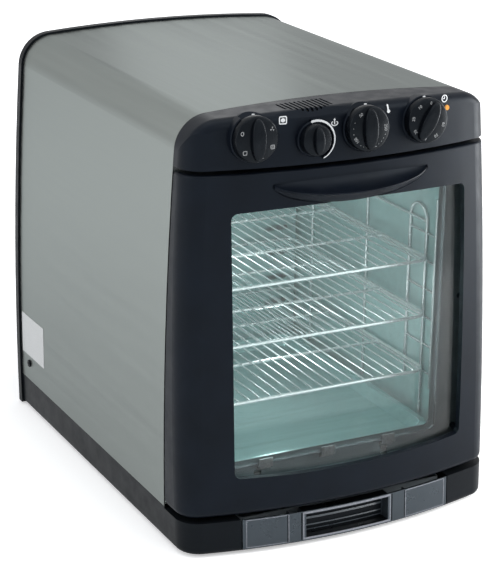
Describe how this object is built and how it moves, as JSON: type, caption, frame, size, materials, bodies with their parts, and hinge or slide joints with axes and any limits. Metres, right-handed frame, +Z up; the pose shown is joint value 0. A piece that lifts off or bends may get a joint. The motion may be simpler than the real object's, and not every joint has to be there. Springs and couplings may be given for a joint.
{
  "type": "countertop combi oven",
  "caption": "Countertop combi oven: glazed door dropping down on a lower hinge, rotary controls above it, wire racks and pan in the cavity, fan behind, water drawer below.",
  "frame": {"origin": "middle of the oven's box, on the table it stands on", "axes": "+X to the right seen from the front, +Y from the door to the back, +Z up"},
  "size_m": [0.426, 0.5643, 0.525],
  "materials": {
    "black_moulding": "fine satin grain",
    "charcoal_moulding": "satin metallic charcoal",
    "body_steel": "fine brushed stainless sheet",
    "inner_stainless": "bright rolled stainless",
    "galvanised": "zinc coated sheet",
    "screw_steel": "bright zinc",
    "wire_chrome": "polished wire",
    "element_steel": "heat-dulled tube",
    "rubber_feet": "matte",
    "seal_silicone": "satin",
    "mineral_wool": "loose fibre",
    "door_glass": "clear, faint green edge",
    "lamp_glass": "ribbed clear",
    "smoked_clear": "smoked clear moulding",
    "drawer_grey": "satin",
    "knob_black": "satin gloss",
    "amber_lens": "clear amber",
    "control_plastic": "moulded",
    "white_plastic": "moulded",
    "ceramic": "unglazed ceramic",
    "motor_metal": "stamped steel",
    "copper_brass": "drawn",
    "pan_aluminium": "pressed, satin"
  },
  "bodies": {
    "chassis": {"base_housing": "black_moulding", "feet": "rubber_feet", "chassis_floor": "galvanised", "steel_wrap": "body_steel", "rear_cover": "black_moulding", "rear_cover_screws": "screw_steel", "front_frame": "inner_stainless", "door_seal": "seal_silicone", "oven_cavity": "inner_stainless", "cavity_insulation": "mineral_wool", "fan_baffle": "inner_stainless", "ring_heater": "element_steel", "grill_element": "element_steel", "rack_support_left": "wire_chrome", "rack_support_right": "wire_chrome", "fan_motor": "motor_metal", "motor_bracket": "galvanised", "lamp_cover": "lamp_glass", "lamp_holder": "ceramic", "steam_pipe": "screw_steel", "water_valve": "white_plastic", "cavity_vent": "galvanised", "terminal_block": "white_plastic", "cable_gland": "control_plastic", "bonding_terminal": "copper_brass", "control_fascia": "charcoal_moulding", "control_bracket": "galvanised", "mode_switch": "control_plastic", "humidity_regulator": "control_plastic", "thermostat": "ceramic", "timer_mechanism": "control_plastic", "thermostat_probe": "copper_brass", "indicator_lamp": "amber_lens", "drawer_runners": "black_moulding", "hinge_arms": "galvanised", "hinge_pins": "screw_steel"},
    "fan": {"fan_wheel": "inner_stainless", "fan_shaft": "screw_steel"},
    "door": {"door_outer_frame": "charcoal_moulding", "door_outer_glass": "door_glass", "door_inner_glass": "door_glass", "door_liner": "inner_stainless", "door_handle": "charcoal_moulding", "glass_clips": "galvanised", "door_hinge_brackets": "galvanised", "door_screws": "screw_steel"},
    "mode_dial": {"mode_knob": "knob_black", "mode_shaft": "screw_steel"},
    "humidity_dial": {"humidity_knob": "knob_black", "humidity_shaft": "screw_steel"},
    "temperature_dial": {"temperature_knob": "knob_black", "temperature_shaft": "screw_steel"},
    "timer_dial": {"timer_knob": "knob_black", "timer_shaft": "screw_steel"},
    "drawer": {"drawer_front": "smoked_clear", "drawer_tray": "drawer_grey"},
    "lower_shelf": {"lower_rack": "wire_chrome"},
    "middle_shelf": {"middle_rack": "wire_chrome"},
    "upper_shelf": {"upper_rack": "wire_chrome"},
    "pan": {"drip_pan": "pan_aluminium"}
  },
  "joints": [
    {"name": "door_hinge", "type": "hinge", "parent": "chassis", "child": "door", "pos_m": [0, -0.26378, 0.0626], "axis": [1, 0, 0], "range_deg": [0, 90]},
    {"name": "fan_spin", "type": "hinge", "parent": "chassis", "child": "fan", "pos_m": [0, 0.22822, 0.236], "axis": [0, 1, 0], "continuous": true},
    {"name": "mode_turn", "type": "hinge", "parent": "chassis", "child": "mode_dial", "pos_m": [-0.125, -0.24529, 0.49523], "axis": [0, 0.9986, -0.0534], "range_deg": [0, 300]},
    {"name": "humidity_turn", "type": "hinge", "parent": "chassis", "child": "humidity_dial", "pos_m": [-0.054, -0.25428, 0.48869], "axis": [0, 0.9986, -0.0534], "range_deg": [0, 270]},
    {"name": "temperature_turn", "type": "hinge", "parent": "chassis", "child": "temperature_dial", "pos_m": [0.011, -0.25579, 0.49579], "axis": [0, 0.9986, -0.0534], "range_deg": [0, 290]},
    {"name": "timer_turn", "type": "hinge", "parent": "chassis", "child": "timer_dial", "pos_m": [0.092, -0.25016, 0.49549], "axis": [0, 0.9986, -0.0534], "range_deg": [-30, 270]},
    {"name": "drawer_slide", "type": "slide", "parent": "chassis", "child": "drawer", "axis": [0, -1, 0], "range_m": [0, 0.15]},
    {"name": "lower_rack_slide", "type": "slide", "parent": "chassis", "child": "lower_shelf", "axis": [0, -1, 0], "range_m": [0, 0.018]},
    {"name": "middle_rack_slide", "type": "slide", "parent": "chassis", "child": "middle_shelf", "axis": [0, -1, 0], "range_m": [0, 0.018]},
    {"name": "upper_rack_slide", "type": "slide", "parent": "chassis", "child": "upper_shelf", "axis": [0, -1, 0], "range_m": [0, 0.018]},
    {"name": "pan_slide", "type": "slide", "parent": "chassis", "child": "pan", "axis": [0, -1, 0], "range_m": [0, 0.004]}
  ]
}
